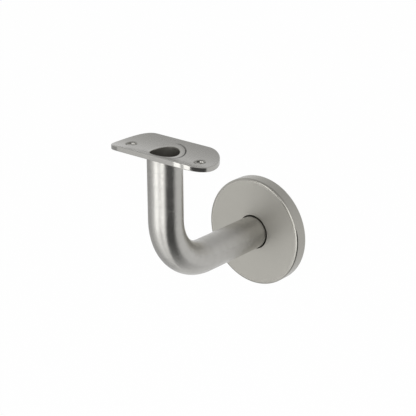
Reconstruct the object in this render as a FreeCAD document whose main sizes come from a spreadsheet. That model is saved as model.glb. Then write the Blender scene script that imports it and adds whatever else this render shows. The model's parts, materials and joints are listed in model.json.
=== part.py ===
import FreeCAD, Part
import math
import os

import Sketcher

# Wall-mounted handrail bracket: a bent round tube carries a curved saddle under the rail,
# and a round plate behind a loose cover rosette fixes it to the wall.
#
# Frame, in millimetres: the origin is on the wall face, on the axis of the horizontal arm.
# +Y points into the wall, +Z is up and X runs along the handrail.

dimensions = [
    ("arm_reach", 86.3, "wall face to the axis of the upright leg"),
    ("leg_height", 71.0, "axis of the arm to the lowest line of the saddle"),
    ("tube_dia", 20.0, "outside of the tube"),
    ("tube_wall", 1.75, "wall of the tube"),
    ("bend_radius", 32.0, "centre line of the bend"),
    ("mouth_round", 0.3, "rounding of the tube's open upper edge"),
    ("saddle_length", 69.0, "along the rail, over the round ends"),
    ("saddle_width", 31.0, "across the rail"),
    ("saddle_thickness", 2.9, "of the saddle's sheet"),
    ("trough_radius", 34.0, "of the saddle's upper face"),
    ("saddle_round", 0.5, "rounding of the saddle's outline"),
    ("rail_screw_spacing", 50.0, "between the two rail screws"),
    ("rail_screw_hole", 6.0, "through hole for a rail screw"),
    ("rail_screw_head", 9.4, "countersink for a rail screw, on the underside"),
    ("rail_hole_bevel", 7.2, "outside of the bevel at the hole's upper end"),
    ("weld_ring_width", 1.6, "of the ground weld around the tube's mouth"),
    ("weld_ring_depth", 1.2, "of the ground weld, measured square to the trough"),
    ("plate_dia", 64.4, "outside of the wall plate"),
    ("plate_thickness", 4.0, "of the wall plate"),
    ("plate_chamfer", 0.5, "on the wall plate's front rim"),
    ("wall_screw_circle", 43.0, "pitch circle of the wall screws"),
    ("wall_screw_count", 3, "wall screws on their circle"),
    ("wall_screw_hole", 5.5, "through hole for a wall screw"),
    ("wall_screw_head", 10.4, "countersink for a wall screw, at the surface"),
    ("countersink_angle", 90.0, "of all screw heads, degrees"),
    ("plate_weld_leg", 2.0, "leg of the fillet weld between tube and wall plate"),
    ("cover_wall", 1.2, "sheet of the cover rosette"),
    ("cover_round", 1.2, "rounding of the cover's front edge"),
    ("cover_lip_round", 0.3, "rounding of the cover's hole"),
    ("cover_fit", 0.1, "radial clearance of the cover on the wall plate"),
    ("cover_hole_gap", 0.5, "radial gap between the cover and the tube"),
    ("cover_weld_gap", 0.6, "clearance between the closed cover and the fillet weld"),
]

# Sizes that follow from the driving dimensions, as expressions on the sheet.
tube_radius = "Sizes.tube_dia / 2"
bore_radius = "(Sizes.tube_dia / 2 - Sizes.tube_wall)"
weld_ring_radius = "(Sizes.tube_dia / 2 + Sizes.weld_ring_width)"
half_saddle = "Sizes.saddle_width / 2"
end_centre = "(Sizes.saddle_length - Sizes.saddle_width) / 2"
bevel_radius = "Sizes.rail_hole_bevel / 2"
bevel_rise = f"(Sizes.trough_radius - sqrt(Sizes.trough_radius ^ 2 - ({bevel_radius}) ^ 2))"
plate_radius = "Sizes.plate_dia / 2"
cover_inner_radius = "(Sizes.plate_dia / 2 + Sizes.cover_fit)"
cover_radius = "(Sizes.plate_dia / 2 + Sizes.cover_fit + Sizes.cover_wall)"
cover_hole_radius = "(Sizes.tube_dia / 2 + Sizes.cover_hole_gap)"
cover_cavity = "(Sizes.plate_thickness + Sizes.plate_weld_leg + Sizes.cover_weld_gap)"
cover_depth = f"({cover_cavity} + Sizes.cover_wall)"

close = 1e-3  # two places nearer than this are the same

doc = FreeCAD.newDocument("HandrailBracket")


def make_sheet():
    sheet = doc.addObject("Spreadsheet::Sheet", "Sizes")
    for row, (alias, value, meaning) in enumerate(dimensions, start=1):
        sheet.set(f"A{row}", alias)
        sheet.set(f"B{row}", str(value))
        sheet.setAlias(f"B{row}", alias)
        sheet.set(f"C{row}", meaning)
    doc.recompute()
    return sheet


sheet = make_sheet()


def measure(expression):
    """The present value of an expression on the sheet."""
    return float(sheet.evalExpression(expression))


def new_body(name, base=None):
    """A body whose origin stands at the given global expressions."""
    body = doc.addObject("PartDesign::Body", name)
    body.Label = name
    for axis, expression in (base or {}).items():
        body.setExpression(f"Placement.Base.{axis}", expression)
    return body


def origin_feature(body, role):
    return next(feature for feature in body.Origin.OriginFeatures if feature.Role == role)


def new_sketch(body, name, plane, offset=None):
    """A sketch on an origin plane of its body, moved along the plane's normal by offset."""
    sketch = body.newObject("Sketcher::SketchObject", f"{body.Name}_{name}")
    sketch.AttachmentSupport = [(origin_feature(body, plane), "")]
    sketch.MapMode = "FlatFace"
    if offset:
        sketch.setExpression("AttachmentOffset.Base.z", offset)
    return sketch


def constrain(sketch, kind, *where, size=None):
    """Adds one constraint, driven by an expression where it has a size."""
    if size is None:
        sketch.addConstraint(Sketcher.Constraint(kind, *where))
        return
    index = sketch.addConstraint(Sketcher.Constraint(kind, *where, measure(size)))
    sketch.setExpression(f"Constraints[{index}]", size)


def pin_point(sketch, geometry, end, x, y):
    """Holds a point of a sketch at x, y from the sketch's origin."""
    for kind, axis, size in (("DistanceX", -2, x), ("DistanceY", -1, y)):
        if size == "0":
            constrain(sketch, "PointOnObject", geometry, end, axis)
        else:
            constrain(sketch, kind, -1, 1, geometry, end, size=size)


def add_circle(sketch, radius, x="0", y="0"):
    centre = FreeCAD.Vector(measure(x), measure(y), 0)
    circle = Part.Circle(centre, FreeCAD.Vector(0, 0, 1), measure(radius))
    index = sketch.addGeometry(circle, False)
    pin_point(sketch, index, 3, x, y)
    constrain(sketch, "Radius", index, size=radius)


def add_polygon(sketch, corners):
    """A closed outline of straight lines through the given corners."""
    points = [FreeCAD.Vector(measure(x), measure(y), 0) for x, y in corners]
    count = len(points)
    for i in range(count):
        sketch.addGeometry(Part.LineSegment(points[i], points[(i + 1) % count]), False)
    for i in range(count):
        constrain(sketch, "Coincident", i, 2, (i + 1) % count, 1)
    for i, (x, y) in enumerate(corners):
        pin_point(sketch, i, 1, x, y)


def add_stadium(sketch, radius, centre):
    """A slot outline along x: half circles of the given radius about +-centre."""
    r = measure(radius)
    c = measure(centre)
    quarter = math.pi / 2
    normal = FreeCAD.Vector(0, 0, 1)
    right = Part.Circle(FreeCAD.Vector(c, 0, 0), normal, r)
    left = Part.Circle(FreeCAD.Vector(-c, 0, 0), normal, r)
    sketch.addGeometry(Part.ArcOfCircle(right, -quarter, quarter), False)
    sketch.addGeometry(Part.LineSegment(FreeCAD.Vector(c, r, 0), FreeCAD.Vector(-c, r, 0)), False)
    sketch.addGeometry(Part.ArcOfCircle(left, quarter, 3 * quarter), False)
    sketch.addGeometry(Part.LineSegment(FreeCAD.Vector(-c, -r, 0), FreeCAD.Vector(c, -r, 0)), False)
    for i in range(4):
        constrain(sketch, "Tangent", i, 2, (i + 1) % 4, 1)
    pin_point(sketch, 0, 3, centre, "0")
    pin_point(sketch, 2, 3, f"-({centre})", "0")
    constrain(sketch, "Radius", 0, size=radius)
    constrain(sketch, "Radius", 2, size=radius)


def new_feature(body, kind, name, **settings):
    feature = body.newObject(f"PartDesign::{kind}", f"{body.Name}_{name}")
    for key, value in settings.items():
        setattr(feature, key, value)
    return feature


def cut_through(body, name, sketch):
    """Cuts a sketch right through its body, to both sides of the sketch's plane."""
    return new_feature(body, "Pocket", name, Profile=sketch, SideType="Symmetric", Type="ThroughAll")


def edge_names(feature, wanted):
    """Names of a feature's edges that pass the test."""
    doc.recompute()
    return [f"Edge{i}" for i, edge in enumerate(feature.Shape.Edges, start=1) if wanted(edge)]


def round_edges(body, name, base, radius, wanted):
    fillet = new_feature(body, "Fillet", name, Base=(base, edge_names(base, wanted)))
    fillet.setExpression("Radius", radius)
    return fillet


def is_ring(edge, radius, y):
    """True for a full circle about the arm's axis with this radius, at this depth."""
    curve = edge.Curve
    if not isinstance(curve, Part.Circle) or len(edge.Vertexes) != 1:
        return False
    return abs(curve.Radius - radius) < close and abs(curve.Center.y - y) < close


def make_arm_tube():
    """One tube: along the arm from the wall, round the bend and up to the saddle."""
    body = new_body("arm_tube")
    straight = "(Sizes.arm_reach - Sizes.bend_radius)"
    top = f"(Sizes.leg_height + {tube_radius})"

    path = new_sketch(body, "path", "YZ_Plane")
    run = measure(straight)
    reach = measure("Sizes.arm_reach")
    bend = measure("Sizes.bend_radius")
    elbow = Part.Circle(FreeCAD.Vector(-run, bend, 0), FreeCAD.Vector(0, 0, 1), bend)
    path.addGeometry(Part.LineSegment(FreeCAD.Vector(0, 0, 0), FreeCAD.Vector(-run, 0, 0)), False)
    path.addGeometry(Part.ArcOfCircle(elbow, math.pi, 1.5 * math.pi), False)
    leg_top = FreeCAD.Vector(-reach, measure(top), 0)
    path.addGeometry(Part.LineSegment(FreeCAD.Vector(-reach, bend, 0), leg_top), False)
    constrain(path, "Coincident", 0, 1, -1, 1)
    constrain(path, "Horizontal", 0)
    constrain(path, "Vertical", 2)
    constrain(path, "Tangent", 0, 2, 1, 2)
    constrain(path, "Tangent", 1, 1, 2, 1)
    constrain(path, "Radius", 1, size="Sizes.bend_radius")
    pin_point(path, 2, 2, "-Sizes.arm_reach", top)

    section = new_sketch(body, "section", "XZ_Plane")
    add_circle(section, tube_radius)
    add_circle(section, bore_radius)
    doc.recompute()
    new_feature(body, "AdditivePipe", "bent", Profile=section, Spine=(path, ["Edge1", "Edge2", "Edge3"]))

    # The upper end is ground to the saddle's trough.
    trough = new_sketch(body, "trough", "YZ_Plane")
    add_circle(
        trough, "Sizes.trough_radius", "-Sizes.arm_reach", "(Sizes.leg_height + Sizes.trough_radius)"
    )
    trimmed = cut_through(body, "trimmed", trough)

    def is_mouth(edge):
        point = edge.Vertexes[0].Point
        from_leg_axis = FreeCAD.Vector(point.x, point.y + reach, 0).Length
        on_trough = point.z > measure("Sizes.leg_height") - close
        on_bore = abs(from_leg_axis - measure(bore_radius)) < close
        return on_trough and on_bore and len(edge.Vertexes) == 1

    round_edges(body, "mouth", trimmed, "Sizes.mouth_round", is_mouth)
    return body


def saddle_base():
    """The saddle's own origin: on its lowest line, on the leg's axis."""
    return {"y": "-Sizes.arm_reach", "z": "Sizes.leg_height"}


def curve_to_rail(body, depth):
    """Leaves only the layer of a body between the trough and a depth under it."""
    layer = new_sketch(body, "layer", "YZ_Plane")
    under = f"(Sizes.trough_radius + {depth})"
    add_circle(layer, "Sizes.trough_radius", "0", "Sizes.trough_radius")
    add_circle(layer, under, "0", "Sizes.trough_radius")
    add_circle(layer, f"({under} + 2 * Sizes.saddle_width)", "0", "Sizes.trough_radius")
    return cut_through(body, "curved", layer)


def pad_both_ways(body, sketch):
    """A block that reaches well over and under the trough's layer."""
    pad = new_feature(body, "Pad", "block", Profile=sketch, SideType="Symmetric")
    pad.setExpression("Length", "2 * Sizes.saddle_width")
    return pad


def make_saddle_weld():
    """The weld between tube and saddle, ground flush with the trough."""
    body = new_body("saddle_weld", saddle_base())
    ring = new_sketch(body, "ring", "XY_Plane")
    add_circle(ring, weld_ring_radius)
    add_circle(ring, tube_radius)
    pad_both_ways(body, ring)
    curve_to_rail(body, "Sizes.weld_ring_depth")
    return body


def make_saddle_plate(weld):
    """Curved sheet with round ends, a hole for the tube and two screw holes sunk from below."""
    body = new_body("saddle_blank", saddle_base())
    outline = new_sketch(body, "outline", "XY_Plane")
    add_stadium(outline, half_saddle, end_centre)
    pad_both_ways(body, outline)
    curved = curve_to_rail(body, "Sizes.saddle_thickness")

    def is_outline(edge):
        first, last = (vertex.Point for vertex in edge.Vertexes)
        return abs(first.x - last.x) + abs(first.y - last.y) > close

    round_edges(body, "rounded", curved, "Sizes.saddle_round", is_outline)

    mouth = new_sketch(body, "mouth", "XY_Plane")
    add_circle(mouth, tube_radius)
    cut_through(body, "mouth_cut", mouth)

    from_above = new_sketch(body, "from_above", "XY_Plane", bevel_rise)
    from_below = new_sketch(body, "from_below", "XY_Plane", "-Sizes.saddle_thickness")
    for sketch in (from_above, from_below):
        for side in ("", "-"):
            add_circle(sketch, "Sizes.rail_screw_hole / 2", f"{side}Sizes.rail_screw_spacing / 2")
    add_countersunk(body, "bevelled", from_above, "Sizes.rail_screw_hole", "Sizes.rail_hole_bevel")
    sunk = add_countersunk(body, "sunk", from_below, "Sizes.rail_screw_hole", "Sizes.rail_screw_head")
    sunk.Reversed = True

    plate = doc.addObject("Part::Cut", "saddle_plate")
    plate.Label = "saddle_plate"
    plate.Base = body
    plate.Tool = weld
    return plate


def add_countersunk(body, name, sketch, hole, head):
    """Countersunk through holes at the circles of a sketch."""
    doc.recompute()
    drilled = new_feature(body, "Hole", name, Profile=sketch)
    drilled.Threaded = False
    drilled.DepthType = "ThroughAll"
    drilled.HoleCutType = "Countersink"
    drilled.HoleCutCustomValues = True
    drilled.setExpression("Diameter", hole)
    drilled.setExpression("HoleCutDiameter", head)
    drilled.setExpression("HoleCutCountersinkAngle", "Sizes.countersink_angle")
    return drilled


def make_mounting_plate():
    """Round plate on the wall, welded round the tube, with countersunk wall holes."""
    body = new_body("mounting_plate")
    disc = new_sketch(body, "disc", "XZ_Plane")
    add_circle(disc, plate_radius)
    add_circle(disc, tube_radius)
    pad = new_feature(body, "Pad", "disc_pad", Profile=disc)
    pad.setExpression("Length", "Sizes.plate_thickness")

    def is_front_rim(edge):
        return is_ring(edge, measure(plate_radius), -measure("Sizes.plate_thickness"))

    chamfer = new_feature(body, "Chamfer", "rim", Base=(pad, edge_names(pad, is_front_rim)))
    chamfer.setExpression("Size", "Sizes.plate_chamfer")

    drilling = new_sketch(body, "drilling", "XZ_Plane", "Sizes.plate_thickness")
    add_circle(drilling, "Sizes.wall_screw_hole / 2", "0", "Sizes.wall_screw_circle / 2")
    hole, head = "Sizes.wall_screw_hole", "Sizes.wall_screw_head"
    drilled = add_countersunk(body, "drilled", drilling, hole, head)
    doc.recompute()
    pattern = new_feature(body, "PolarPattern", "screw_circle", Originals=[drilled], Angle=360)
    pattern.Axis = (origin_feature(body, "Y_Axis"), [""])
    pattern.setExpression("Occurrences", "Sizes.wall_screw_count")
    body.Tip = pattern
    return body


def revolve_about_arm(body, name, corners):
    """Turns an outline, given as depth and radius, about the arm's axis."""
    half = new_sketch(body, f"{name}_half", "YZ_Plane")
    add_polygon(half, corners)
    turned = new_feature(body, "Revolution", name, Profile=half, Angle=360)
    turned.ReferenceAxis = (half, ["H_Axis"])
    return turned


def make_mounting_weld():
    """Fillet weld round the tube on the front of the wall plate."""
    body = new_body("mounting_weld")
    front = "-Sizes.plate_thickness"
    corners = [
        (front, tube_radius),
        (front, f"({tube_radius} + Sizes.plate_weld_leg)"),
        (f"({front} - Sizes.plate_weld_leg)", tube_radius),
    ]
    revolve_about_arm(body, "bead", corners)
    return body


def make_cover_rosette():
    """Shallow pressed cap that hides the wall plate, with a hole for the tube."""
    body = new_body("cover_rosette")
    front = f"-{cover_depth}"
    inside = f"-{cover_cavity}"
    corners = [
        ("0", cover_inner_radius),
        ("0", cover_radius),
        (front, cover_radius),
        (front, cover_hole_radius),
        (inside, cover_hole_radius),
        (inside, cover_inner_radius),
    ]
    cap = revolve_about_arm(body, "cap", corners)

    def is_front_edge(edge):
        return is_ring(edge, measure(cover_radius), measure(front))

    def is_hole_edge(edge):
        return is_ring(edge, measure(cover_hole_radius), measure(front))

    rounded = round_edges(body, "front_edge", cap, "Sizes.cover_round", is_front_edge)
    round_edges(body, "hole_edge", rounded, "Sizes.cover_lip_round", is_hole_edge)
    return body


def check_document():
    """Stops if any object of the document failed to build."""
    for item in doc.Objects:
        if "Invalid" in item.State or "Error" in item.State:
            raise RuntimeError(f"{item.Name} failed: {item.State}")


def check_shape(piece):
    """Stops unless a piece is one sound solid."""
    shape = piece.Shape
    if shape.isNull() or not shape.isValid() or len(shape.Solids) != 1 or shape.Volume <= 0:
        raise RuntimeError(f"{piece.Label} isn't one sound solid")


saddle_weld = make_saddle_weld()
pieces = [
    make_arm_tube(),
    make_saddle_plate(saddle_weld),
    saddle_weld,
    make_mounting_plate(),
    make_mounting_weld(),
    make_cover_rosette(),
]
doc.recompute()
check_document()
for piece in pieces:
    check_shape(piece)

os.makedirs("parts", exist_ok=True)
for piece in pieces:
    piece.Shape.exportStep(f"parts/{piece.Label}.step")
    box = piece.Shape.BoundBox
    print(
        f"{piece.Label}: {piece.Shape.Volume:.1f} mm3,"
        f" x {box.XMin:.2f}..{box.XMax:.2f}, y {box.YMin:.2f}..{box.YMax:.2f},"
        f" z {box.ZMin:.2f}..{box.ZMax:.2f}"
    )
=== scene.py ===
import json
import math

import bpy
from mathutils import Matrix, Vector


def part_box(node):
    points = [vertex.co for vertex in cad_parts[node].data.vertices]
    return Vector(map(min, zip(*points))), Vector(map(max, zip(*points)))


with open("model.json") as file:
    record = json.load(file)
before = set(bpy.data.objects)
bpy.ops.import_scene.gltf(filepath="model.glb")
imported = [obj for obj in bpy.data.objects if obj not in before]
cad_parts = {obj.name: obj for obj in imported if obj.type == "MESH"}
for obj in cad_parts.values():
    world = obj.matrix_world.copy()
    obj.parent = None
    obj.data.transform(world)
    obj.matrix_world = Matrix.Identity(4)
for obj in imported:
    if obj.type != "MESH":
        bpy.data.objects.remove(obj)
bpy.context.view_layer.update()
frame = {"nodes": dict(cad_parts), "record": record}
print("frame loaded")

mm = 0.001

mounts = {mount["name"]: mount for mount in frame["record"]["mounts"]}
railSeat = mounts["rail_seat"]["pos_m"]
saddleLow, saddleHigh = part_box("saddle_plate")


def halfWidth(node):
    # mm along the rail, from the plane through arm and leg to the node's side
    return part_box(node)[1].x / mm


# the bracket's sizes in millimetres, written out only where the frame doesn't give them
bracket = {
    "legY": railSeat[1] / mm,     # axis of the upright leg
    "saddleZ": railSeat[2] / mm,  # lowest line of the saddle's trough
    "tubeRadius": halfWidth("arm_tube"),
    "boreRadius": 8.25,
    "bendRadius": 32.0,
    "saddleLength": 2 * halfWidth("saddle_plate"),
    "saddleWidth": (saddleHigh.y - saddleLow.y) / mm,
    "screwSpacing": mounts["rail_fixing"]["dims"]["spacing_x_mm"],
    "bevelRadius": 3.6,           # outside of the bevel at the screw holes' upper ends
    "weldRadius": halfWidth("saddle_weld"),
    "coverRadius": halfWidth("cover_rosette"),
}


class Value:
    # one output socket of a material, with the usual operators
    def __init__(self, finish, socket):
        self.finish = finish
        self.socket = socket

    def __add__(self, other):
        return self.finish.maths("ADD", self, other)

    __radd__ = __add__

    def __sub__(self, other):
        return self.finish.maths("SUBTRACT", self, other)

    def __rsub__(self, other):
        return self.finish.maths("SUBTRACT", other, self)

    def __mul__(self, other):
        return self.finish.maths("MULTIPLY", self, other)

    def __truediv__(self, other):
        return self.finish.maths("DIVIDE", self, other)

    def __neg__(self):
        return self.finish.maths("MULTIPLY", self, -1.0)

    def least(self, other):
        return self.finish.maths("MINIMUM", self, other)

    def most(self, other):
        return self.finish.maths("MAXIMUM", self, other)

    def size(self):
        return self.finish.maths("ABSOLUTE", self)

    def power(self, other):
        return self.finish.maths("POWER", self, other)

    def turnFrom(self, other):
        return self.finish.maths("ARCTAN2", self, other)

    def across(self, other):
        # length of the diagonal over two sides
        return self.finish.maths("SQRT", self * self + other * other)

    def waves(self, length):
        # even waves of this length, from -1 to 1
        return self.finish.maths("SINE", self * (2 * math.pi / length))

    def ramp(self, low, high):
        # 0 below low, 1 above high, smooth between them
        settings = {"interpolation_type": "SMOOTHSTEP"}
        inputs = {"Value": self, "From Min": low, "From Max": high}
        return self.finish.node("ShaderNodeMapRange", settings, inputs)["Result"]


class Finish:
    # a material, or a world, under construction
    def __init__(self, name, kind="materials"):
        self.made = getattr(bpy.data, kind).new(name)
        self.made.use_nodes = True
        self.tree = self.made.node_tree
        self.tree.nodes.clear()

    def node(self, kind, settings=None, inputs=None):
        made = self.tree.nodes.new(kind)
        for key, setting in (settings or {}).items():
            setattr(made, key, setting)
        for key, given in (inputs or {}).items():
            if isinstance(given, Value):
                self.tree.links.new(given.socket, made.inputs[key])
            else:
                made.inputs[key].default_value = given
        return {output.name: Value(self, output) for output in made.outputs if output.enabled}

    def maths(self, operation, *given):
        inputs = dict(enumerate(given))
        return self.node("ShaderNodeMath", {"operation": operation}, inputs)["Value"]

    def place(self):
        # object coordinates, as three numbers in millimetres
        coords = self.node("ShaderNodeTexCoord")["Object"]
        parts = self.node("ShaderNodeSeparateXYZ", None, {"Vector": coords})
        return parts["X"] / mm, parts["Y"] / mm, parts["Z"] / mm

    def noise(self, x, y, z, scale=1.0, detail=2.0, rough=0.5):
        place = self.node("ShaderNodeCombineXYZ", None, {"X": x, "Y": y, "Z": z})["Vector"]
        inputs = {"Vector": place, "Scale": scale, "Detail": detail, "Roughness": rough}
        return self.node("ShaderNodeTexNoise", {"noise_dimensions": "3D"}, inputs)["Fac"]

    def blend(self, share, first, second):
        # a mix of two colours
        first, second = (
            colour if isinstance(colour, Value) else (*colour, 1.0) for colour in (first, second)
        )
        inputs = {0: share, 6: first, 7: second}
        return self.node("ShaderNodeMix", {"data_type": "RGBA"}, inputs)["Result"]

    def toned(self, tone, darker, lighter):
        # the middle of a noise spread over the whole way between two colours
        return self.blend(tone.ramp(0.3, 0.7), darker, lighter)

    def metal(self, colour, roughness, height, lift):
        # height gives the scratches, and lift is what a height of 1 stands for in metres
        bump = {"Height": height, "Distance": lift, "Strength": 1.0}
        normal = self.node("ShaderNodeBump", None, bump)["Normal"]
        inputs = {"Base Color": colour, "Metallic": 1.0, "Roughness": roughness, "Normal": normal}
        shader = self.node("ShaderNodeBsdfPrincipled", None, inputs)["BSDF"]
        self.node("ShaderNodeOutputMaterial", None, {"Surface": shader})
        return self.made

    def glow(self, colour):
        return self.node("ShaderNodeEmission", None, {"Color": colour, "Strength": 1.0})["Emission"]


def weigh(shares, *values):
    # the sum of these values, each times its own share
    total = values[0] * shares[0]
    for share, value in zip(shares[1:], values[1:]):
        total = total + value * share
    return total


# base colours
steel = {
    "tubeLight": (0.53, 0.521, 0.496),
    "tubeMid": (0.49, 0.482, 0.457),
    "light": (0.495, 0.487, 0.465),
    "mid": (0.46, 0.452, 0.428),
    # dark is also the painted shade in the screw holes
    "dark": (0.37, 0.363, 0.341),
    "coverLight": (0.435, 0.424, 0.389),
    "coverMid": (0.405, 0.394, 0.361),
    "straw": (0.42, 0.375, 0.29),    # heat colour on the unground weld
    "toe": (0.05, 0.048, 0.044),     # painted shadow in the groove beside the weld
    "bore": (0.32, 0.31, 0.282),     # painted shade inside the tube, whose bore is also left unpolished
}

tubeBrush = {
    "lineWidth": 0.13,      # mm between the scratches round the tube
    "lineLength": 9.0,      # mm along one scratch
    "bandsAlong": 0.35,     # soft bands to a millimetre along the tube
    "bandsRound": 0.06,     # and round it
    "mottle": 0.09,         # blotches to a millimetre
    "tone": (0.4, 0.35, 0.25),  # shares of scratches, bands and blotches in the tone
    "lift": 0.06 * mm,
    "roughness": 0.2,
    "vary": 0.04,           # change of roughness with the tone
    "boreRougher": 0.25,    # added to the roughness inside the bore
}


def tubeSteel():
    # satin tube, brushed round its section all the way along the bend
    finish = Finish("tubeSteel")
    x, y, z = finish.place()
    bendRadius = bracket["bendRadius"]
    fromBend = y - (bracket["legY"] + bendRadius)
    aboveBend = z - bendRadius
    inY = fromBend.least(0.0)
    inZ = aboveBend.least(0.0)
    turn = (-inZ).turnFrom(-inY)
    along = aboveBend.most(0.0) - turn * bendRadius - fromBend.most(0.0)
    outward = inY.across(inZ) - bendRadius
    fine, long = 1 / tubeBrush["lineWidth"], 1 / tubeBrush["lineLength"]
    lines = finish.noise(along * fine, x * long, outward * long, detail=3.0)
    bandsAlong, bandsRound = tubeBrush["bandsAlong"], tubeBrush["bandsRound"]
    bands = finish.noise(along * bandsAlong, x * bandsRound, outward * bandsRound)
    mottle = finish.noise(x, y, z, scale=tubeBrush["mottle"])
    tone = weigh(tubeBrush["tone"], lines, bands, mottle)
    outside = finish.toned(tone, steel["tubeMid"], steel["tubeLight"])
    boreRadius = bracket["boreRadius"]
    inside = 1 - x.across(outward).ramp(boreRadius + 0.1, boreRadius + 0.5)
    # darker inside the bore: painted shade; the bore is also rougher
    colour = finish.blend(inside, outside, steel["bore"])
    satin = tubeBrush["roughness"] + (tone - 0.5) * tubeBrush["vary"]
    roughness = satin + inside * tubeBrush["boreRougher"]
    return finish.metal(colour, roughness, lines, tubeBrush["lift"])


saddleBrush = {
    "lineWidth": 0.25,      # mm between the scratches along the rail
    "lineLength": 7.0,      # mm along one scratch
    "ringWidth": 0.55,      # mm between the turning marks round the mouth
    "ringReach": 6.0,       # mm from the weld to where they end
    "ringWander": 0.05,     # bends to a millimetre in those marks
    "grain": 0.9,           # specks to a millimetre
    "mottle": 0.07,         # blotches to a millimetre
    "tone": (0.35, 0.35, 0.3, 0.2),  # shares of scratches, specks, blotches and marks
    "height": (0.6, 0.4),   # shares of scratches and marks in the relief
    "lift": 0.004 * mm,
    "roughness": 0.27,
    "vary": 0.08,
    "edgeRoughness": 0.16,  # ground edge and screw holes
}

# painted shadow: a dark line in the groove at the weld's edge, strongest on the side of +X
grooveShadeLine = {
    "radius": 11.5,         # mm from the leg's axis
    "dark": 0.2,            # mm to each side where it is darkest
    "gone": 0.6,            # mm to each side where it has ended
    "patches": 0.12,        # to a millimetre, where it comes and goes
    "patchy": 2.0,          # how strongly they come and go
    "towardsX": 0.9,        # how much darker it is on the side of +X
    "evenly": 0.25,         # and how dark all round
}


def paintedGrooveShade(finish, x, y):
    # share of the painted shadow, a dark line in the groove beside the weld
    fromLeg = x.across(y)
    line = 1 - (fromLeg - grooveShadeLine["radius"]).size().ramp(grooveShadeLine["dark"], grooveShadeLine["gone"])
    patches = finish.noise(x, y, 0.0, scale=grooveShadeLine["patches"], detail=1.0)
    side = (x / fromLeg) * grooveShadeLine["towardsX"]
    depth = side + (patches - 0.5) * grooveShadeLine["patchy"] + grooveShadeLine["evenly"]
    return line * depth.most(0.0).least(1.0)


def saddleEdge(x, y):
    # 1 on the edge of the round-ended outline, 0 on the faces
    half = bracket["saddleWidth"] / 2
    spine = bracket["saddleLength"] / 2 - half
    fromSpine = (x.size() - spine).most(0.0).across(y)
    return fromSpine.ramp(half - 0.35, half - 0.1)


def screwHoles(x, y):
    # 1 inside the two rail screw holes, with their bevel
    fromScrew = (x.size() - bracket["screwSpacing"] / 2).across(y)
    return 1 - fromScrew.ramp(bracket["bevelRadius"], bracket["bevelRadius"] + 0.15)


def saddleSteel():
    # satin plate brushed along the rail, with faint turning marks round the mouth
    finish = Finish("saddleSteel")
    x, y, z = finish.place()
    y = y - bracket["legY"]
    fine, long = 1 / saddleBrush["lineWidth"], 1 / saddleBrush["lineLength"]
    lines = finish.noise(x * long, y * fine, z * fine, detail=3.0)
    grain = finish.noise(x, y, z, scale=saddleBrush["grain"], detail=3.0)
    mottle = finish.noise(x, y, z, scale=saddleBrush["mottle"])
    fromLeg = x.across(y)
    wander = finish.noise(x, y, 0.0, scale=saddleBrush["ringWander"])
    weldRadius = bracket["weldRadius"]
    near = 1 - fromLeg.ramp(weldRadius + 0.5, weldRadius + saddleBrush["ringReach"])
    rings = (fromLeg + wander).waves(saddleBrush["ringWidth"]) * near
    tone = weigh(saddleBrush["tone"], lines, grain, mottle, rings)
    face = finish.toned(tone, steel["mid"], steel["light"])
    # painted shadow beside the weld
    face = finish.blend(paintedGrooveShade(finish, x, y), face, steel["toe"])
    holes = screwHoles(x, y)
    smooth = saddleEdge(x, y).most(holes)
    # painted shade: the screw holes and their bevel darker
    colour = finish.blend(holes, face, steel["dark"])
    satin = saddleBrush["roughness"] + (tone - 0.5) * saddleBrush["vary"]
    roughness = satin + smooth * (saddleBrush["edgeRoughness"] - saddleBrush["roughness"])
    height = weigh(saddleBrush["height"], lines, rings) * (1 - smooth)
    return finish.metal(colour, roughness, height, saddleBrush["lift"])


groundWeld = {
    "toeDepth": 2.0,        # mm under the trough, where the painted shadow beside the weld has ended
    "grain": 1.6,           # specks to a millimetre
    "mottle": 0.3,          # blotches to a millimetre
    "lift": 0.02 * mm,
    "roughness": 0.27,
    "vary": 0.2,
}


def weldSteel():
    # weld ground flush with the saddle: its colours, with a grain that has no direction
    finish = Finish("weldSteel")
    x, y, z = finish.place()
    y = y - bracket["legY"]
    grain = finish.noise(x, y, z, scale=groundWeld["grain"], detail=4.0, rough=0.6)
    mottle = finish.noise(x, y, z, scale=groundWeld["mottle"])
    ground = finish.blend(mottle.ramp(0.35, 0.65), steel["mid"], steel["light"])
    shadeEnd = bracket["saddleZ"] - groundWeld["toeDepth"]
    onTop = z.ramp(shadeEnd, shadeEnd + 1.0)
    # painted shadow beside the weld, on the weld's top only
    colour = finish.blend(paintedGrooveShade(finish, x, y) * onTop, ground, steel["toe"])
    roughness = groundWeld["roughness"] + (grain - 0.5) * groundWeld["vary"]
    return finish.metal(colour, roughness, grain, groundWeld["lift"])


weldBead = {
    "ripples": 44,          # round the tube
    "curve": 0.6,           # how far they curve back across the bead
    "wander": 0.35,         # uneven places to a millimetre
    "uneven": 3.0,          # how far those shift the ripples
    "grain": 1.4,           # specks to a millimetre
    "crest": 3.0,           # how narrow the painted highlight on each ripple is
    "height": (0.5, 0.3),   # shares of ripples and specks in the relief
    "lift": 0.16 * mm,
    "roughness": 0.3,
    "vary": 0.15,
}


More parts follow.
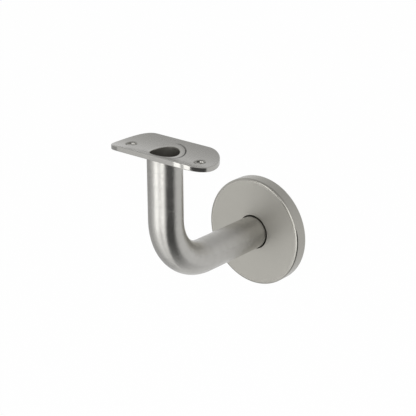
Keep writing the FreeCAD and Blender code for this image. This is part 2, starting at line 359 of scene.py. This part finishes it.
def beadSteel():
    # unground weld on the wall plate: a rippled bead, a little straw-coloured from the heat, with a
    # painted highlight on each ripple
    finish = Finish("beadSteel")
    x, y, z = finish.place()
    outward = x.across(z) - bracket["tubeRadius"]
    wander = finish.noise(x, y, z, scale=weldBead["wander"])
    swept = x.turnFrom(z) * weldBead["ripples"] + outward * outward * weldBead["curve"]
    ripples = (swept + wander * weldBead["uneven"]).waves(2 * math.pi)
    grain = finish.noise(x, y, z, scale=weldBead["grain"], detail=3.0)
    heated = finish.blend(wander.ramp(0.35, 0.7), steel["straw"], steel["mid"])
    # painted highlight on each ripple's crest
    colour = finish.blend((ripples * 0.5 + 0.5).power(weldBead["crest"]), heated, steel["light"])
    roughness = weldBead["roughness"] + (grain - 0.5) * weldBead["vary"]
    height = weigh(weldBead["height"], ripples, grain)
    return finish.metal(colour, roughness, height, weldBead["lift"])


plateTurning = {
    "ringWidth": 0.8,       # mm between the turning marks
    "grain": 0.8,           # specks to a millimetre
    "tone": (0.7, 0.1),     # shares of specks and marks in the tone
    "lighter": 0.15,        # added to the tone
    "height": (0.3, 0.7),   # shares of marks and specks in the relief
    "lift": 0.015 * mm,
    "roughness": 0.34,
    "vary": 0.2,
}


def plateSteel():
    # wall plate: rolled sheet with a turned face and rim
    finish = Finish("plateSteel")
    x, y, z = finish.place()
    rings = x.across(z).waves(plateTurning["ringWidth"])
    grain = finish.noise(x, y, z, scale=plateTurning["grain"], detail=4.0)
    tone = weigh(plateTurning["tone"], grain, rings) + plateTurning["lighter"]
    colour = finish.toned(tone, steel["dark"], steel["mid"])
    roughness = plateTurning["roughness"] + (grain - 0.5) * plateTurning["vary"]
    height = weigh(plateTurning["height"], rings, grain)
    return finish.metal(colour, roughness, height, plateTurning["lift"])


coverBrush = {
    "ringWidth": 0.22,      # mm between the scratches round the arm
    "arcs": 1.2,            # breaks in a scratch, to a radian round the arm
    "grain": 0.9,           # specks to a millimetre
    "mottle": 0.05,         # blotches to a millimetre
    "tone": (0.35, 0.3, 0.35),  # shares of scratches, specks and blotches in the tone
    "height": (0.7, 0.3),   # shares of scratches and specks in the relief
    "edgeFrom": 2.2,        # mm in from the rim, where the polished edge begins
    "lift": 0.07 * mm,
    "roughness": 0.5,
    "vary": 0.1,
    "edgeRoughness": 0.22,
}


def coverSteel():
    # satin rosette, brushed in fine circles about the arm
    finish = Finish("coverSteel")
    x, y, z = finish.place()
    fromArm = x.across(z)
    reach = (fromArm - y) / coverBrush["ringWidth"]
    rings = finish.noise(reach, x.turnFrom(z) * coverBrush["arcs"], 0.0, detail=3.0)
    grain = finish.noise(x, y, z, scale=coverBrush["grain"], detail=3.0)
    mottle = finish.noise(x, y, z, scale=coverBrush["mottle"])
    tone = weigh(coverBrush["tone"], rings, grain, mottle)
    colour = finish.toned(tone, steel["coverMid"], steel["coverLight"])
    edgeRadius = bracket["coverRadius"] - coverBrush["edgeFrom"]
    edge = fromArm.ramp(edgeRadius, edgeRadius + 1.0)
    satin = coverBrush["roughness"] + (tone - 0.5) * coverBrush["vary"]
    roughness = satin + edge * (coverBrush["edgeRoughness"] - coverBrush["roughness"])
    height = weigh(coverBrush["height"], rings, grain)
    return finish.metal(colour, roughness, height, coverBrush["lift"])


def dress(node, material):
    slots = frame["nodes"][node].data.materials
    slots.clear()
    slots.append(material)


dress("arm_tube", tubeSteel())
dress("saddle_plate", saddleSteel())
dress("saddle_weld", weldSteel())
dress("mounting_plate", plateSteel())
dress("mounting_weld", beadSteel())
dress("cover_rosette", coverSteel())
print("finishes done")

white = (1.0, 1.0, 1.0)
black = (0.0, 0.0, 0.0)

studio = {
    "centre": (0.0, -0.07),  # m, the panels and cards stand round this place
    "floorZ": -0.5,          # m, well under the bracket
    "floorSize": 8.0,        # m
    "floorGlow": 0.92,       # share of plain glow in the floor as it is seen; the rest is matt
    "wedgeLift": 1 * mm,     # of the wedges over the floor
    "top": 0.75,             # m, upper edge of what stands round the bracket
    "fadeTo": 0.6,           # m from the centre, where a wedge on the floor has its outer shade
    "mirrorFade": 0.2,       # how much darker mirror rays see the floor and the sky
    "skyFade": 0.4,          # and how much more for the sky straight up
    "skyPower": 2.2,         # how late that begins on the way up
}

# What stands round the bracket. from and to are degrees round it, 0 straight in front; away is in
# metres; glow is a lamp's radiance and shade a card's, where white is 1; wedge is the shade of the
# floor before it, outside and under the bracket.
surroundings = {
    "leftPanel": {"from": -31.0, "to": -2.0, "away": 1.0, "glow": 1.3, "wedge": (1.3, 0.96)},
    "rightPanel": {"from": 11.0, "to": 35.5, "away": 1.0, "glow": 1.3, "wedge": (1.3, 0.96)},
    "darkCard": {
        "from": 36.0, "to": 103.0, "away": 1.0, "shade": 0.085, "top": 0.02, "wedge": (0.085, 0.44)
    },
    "greyCard": {
        "from": -125.0, "to": -60.0, "away": 1.3, "shade": 0.46, "top": -0.2, "wedge": (0.54, 0.6)
    },
    "dimCard": {"from": 103.0, "to": 135.0, "away": 0.6, "wedge": (0.6, 0.52)},
}


def standing(spec):
    # where a panel or card has its foot, its way out from the centre, its turn and its size
    turn = math.radians((spec["from"] + spec["to"]) / 2)
    half = math.radians(spec["to"] - spec["from"]) / 2
    out = Vector((math.sin(turn), -math.cos(turn), 0.0))
    return {
        "foot": Vector((*studio["centre"], studio["floorZ"])) + out * spec["away"],
        "out": out,
        "turn": turn,
        "width": 2 * spec["away"] * math.tan(half),
        "height": spec.get("top", studio["top"]) - studio["floorZ"],
    }


def halfWayUp(stand):
    return stand["foot"] + Vector((0, 0, stand["height"] / 2))


def addPanel(name, spec):
    stand = standing(spec)
    light = bpy.data.lights.new(name, "AREA")
    light.shape = "RECTANGLE"
    light.size = stand["width"]
    light.size_y = stand["height"]
    light.energy = spec["glow"] * math.pi * stand["width"] * stand["height"]
    panel = bpy.data.objects.new(name, light)
    bpy.context.scene.collection.objects.link(panel)
    panel.location = halfWayUp(stand)
    panel.rotation_mode = "QUATERNION"
    panel.rotation_quaternion = (-stand["out"]).to_track_quat("-Z", "Y")
    panel.visible_camera = False


def cardPaint(name, shade):
    finish = Finish(name)
    glow = finish.glow((shade, shade, shade, 1.0))
    finish.node("ShaderNodeOutputMaterial", None, {"Surface": glow})
    return finish.made


def wedgePaint(name, outer, under):
    # one shade under the bracket, turning to another outwards
    finish = Finish(name)
    x, y, _ = finish.place()
    centreX, centreY = studio["centre"]
    outwards = (x * mm - centreX).across(y * mm - centreY).ramp(0.0, studio["fadeTo"])
    glow = finish.glow(finish.blend(outwards, (under,) * 3, (outer,) * 3))
    finish.node("ShaderNodeOutputMaterial", None, {"Surface": glow})
    return finish.made


def asCard(card, name, paint):
    # only mirror rays see a card
    bpy.ops.object.transform_apply(location=True, rotation=True, scale=True)
    card.name = name
    card.data.materials.append(paint)
    card.visible_camera = False
    card.visible_diffuse = False
    card.visible_shadow = False
    card.visible_transmission = False


def addCard(name, spec):
    stand = standing(spec)
    upright = (math.pi / 2, 0.0, stand["turn"])
    bpy.ops.object.select_all(action="DESELECT")
    bpy.ops.mesh.primitive_plane_add(size=1.0, location=halfWayUp(stand), rotation=upright)
    card = bpy.context.object
    card.scale = (stand["width"], stand["height"], 1.0)
    asCard(card, name, cardPaint(name, spec["shade"]))


def addWedge(name, spec):
    # a triangle on the floor, from under the bracket to the foot of a panel or card
    stand = standing(spec)
    middle = stand["foot"] - stand["out"] * (spec["away"] / 3)
    middle.z += studio["wedgeLift"]
    flat = (0.0, 0.0, stand["turn"])
    bpy.ops.object.select_all(action="DESELECT")
    bpy.ops.mesh.primitive_circle_add(
        vertices=3, radius=1.0, fill_type="NGON", location=middle, rotation=flat
    )
    wedge = bpy.context.object
    wedge.scale = (stand["width"] / math.sqrt(3), spec["away"] / 1.5, 1.0)
    asCard(wedge, name, wedgePaint(name, *spec["wedge"]))


def floorPaint():
    # the camera sees a white floor and mirror rays a little darker one, with soft shadows on it
    finish = Finish("floorPaint")
    ray = finish.node("ShaderNodeLightPath")
    seen = (ray["Is Camera Ray"] + ray["Is Glossy Ray"] + ray["Is Transmission Ray"]).least(1.0)
    glow = finish.glow(finish.blend(ray["Is Glossy Ray"] * studio["mirrorFade"], white, black))
    matt = finish.node("ShaderNodeBsdfDiffuse", None, {"Color": (0.9, 0.9, 0.9, 1.0)})["BSDF"]
    inputs = {0: seen * studio["floorGlow"], 1: matt, 2: glow}
    mixed = finish.node("ShaderNodeMixShader", None, inputs)["Shader"]
    finish.node("ShaderNodeOutputMaterial", None, {"Surface": mixed})
    return finish.made


def addFloor():
    bpy.ops.object.select_all(action="DESELECT")
    bpy.ops.mesh.primitive_plane_add(size=studio["floorSize"], location=(0, 0, studio["floorZ"]))
    floor = bpy.context.object
    floor.name = "floor"
    bpy.ops.object.transform_apply(location=True)
    floor.data.materials.append(floorPaint())


def setWorld():
    # white all round; mirror rays see it a little darker, most of all overhead
    sky = Finish("sky", "worlds")
    bpy.context.scene.world = sky.made
    way = sky.node("ShaderNodeTexCoord")["Generated"]
    up = sky.node("ShaderNodeSeparateXYZ", None, {"Vector": way})["Z"].most(0.0)
    mirrored = sky.node("ShaderNodeLightPath")["Is Glossy Ray"]
    fade = up.power(studio["skyPower"]) * studio["skyFade"] + studio["mirrorFade"]
    colour = sky.blend(mirrored * fade, white, black)
    back = sky.node("ShaderNodeBackground", None, {"Color": colour, "Strength": 1.0})["Background"]
    sky.node("ShaderNodeOutputWorld", None, {"Surface": back})


addFloor()
for name, spec in surroundings.items():
    if "glow" in spec:
        addPanel(name, spec)
    if "shade" in spec:
        addCard(name, spec)
    addWedge(f"{name}Floor", spec)
setWorld()
print("studio done")

lens = {
    "azimuth": 40.09,        # degrees round the bracket, from straight in front
    "elevation": 20.94,
    "roll": -0.29,
    "distance": 0.8,         # m
    "focal": 119.1,          # mm
    "sensor": 36.0,          # mm
    "target": (-0.0041, -0.045, 0.02546),
}


def addCamera():
    azimuth, elevation, roll = (
        math.radians(lens[key]) for key in ("azimuth", "elevation", "roll")
    )
    level = Vector((math.cos(azimuth), math.sin(azimuth), 0.0))
    ahead = Vector((math.sin(azimuth), -math.cos(azimuth), 0.0))
    back = ahead * math.cos(elevation) + Vector((0.0, 0.0, math.sin(elevation)))
    rise = back.cross(level)
    right = level * math.cos(roll) + rise * math.sin(roll)
    up = rise * math.cos(roll) - level * math.sin(roll)
    data = bpy.data.cameras.new("camera")
    data.lens = lens["focal"]
    data.sensor_width = lens["sensor"]
    camera = bpy.data.objects.new("camera", data)
    bpy.context.scene.collection.objects.link(camera)
    turned = Matrix((right, up, back)).transposed().to_4x4()
    turned.translation = Vector(lens["target"]) + back * lens["distance"]
    camera.matrix_world = turned
    bpy.context.scene.camera = camera


addCamera()
bpy.context.scene.view_settings.view_transform = "Standard"
print("camera done")
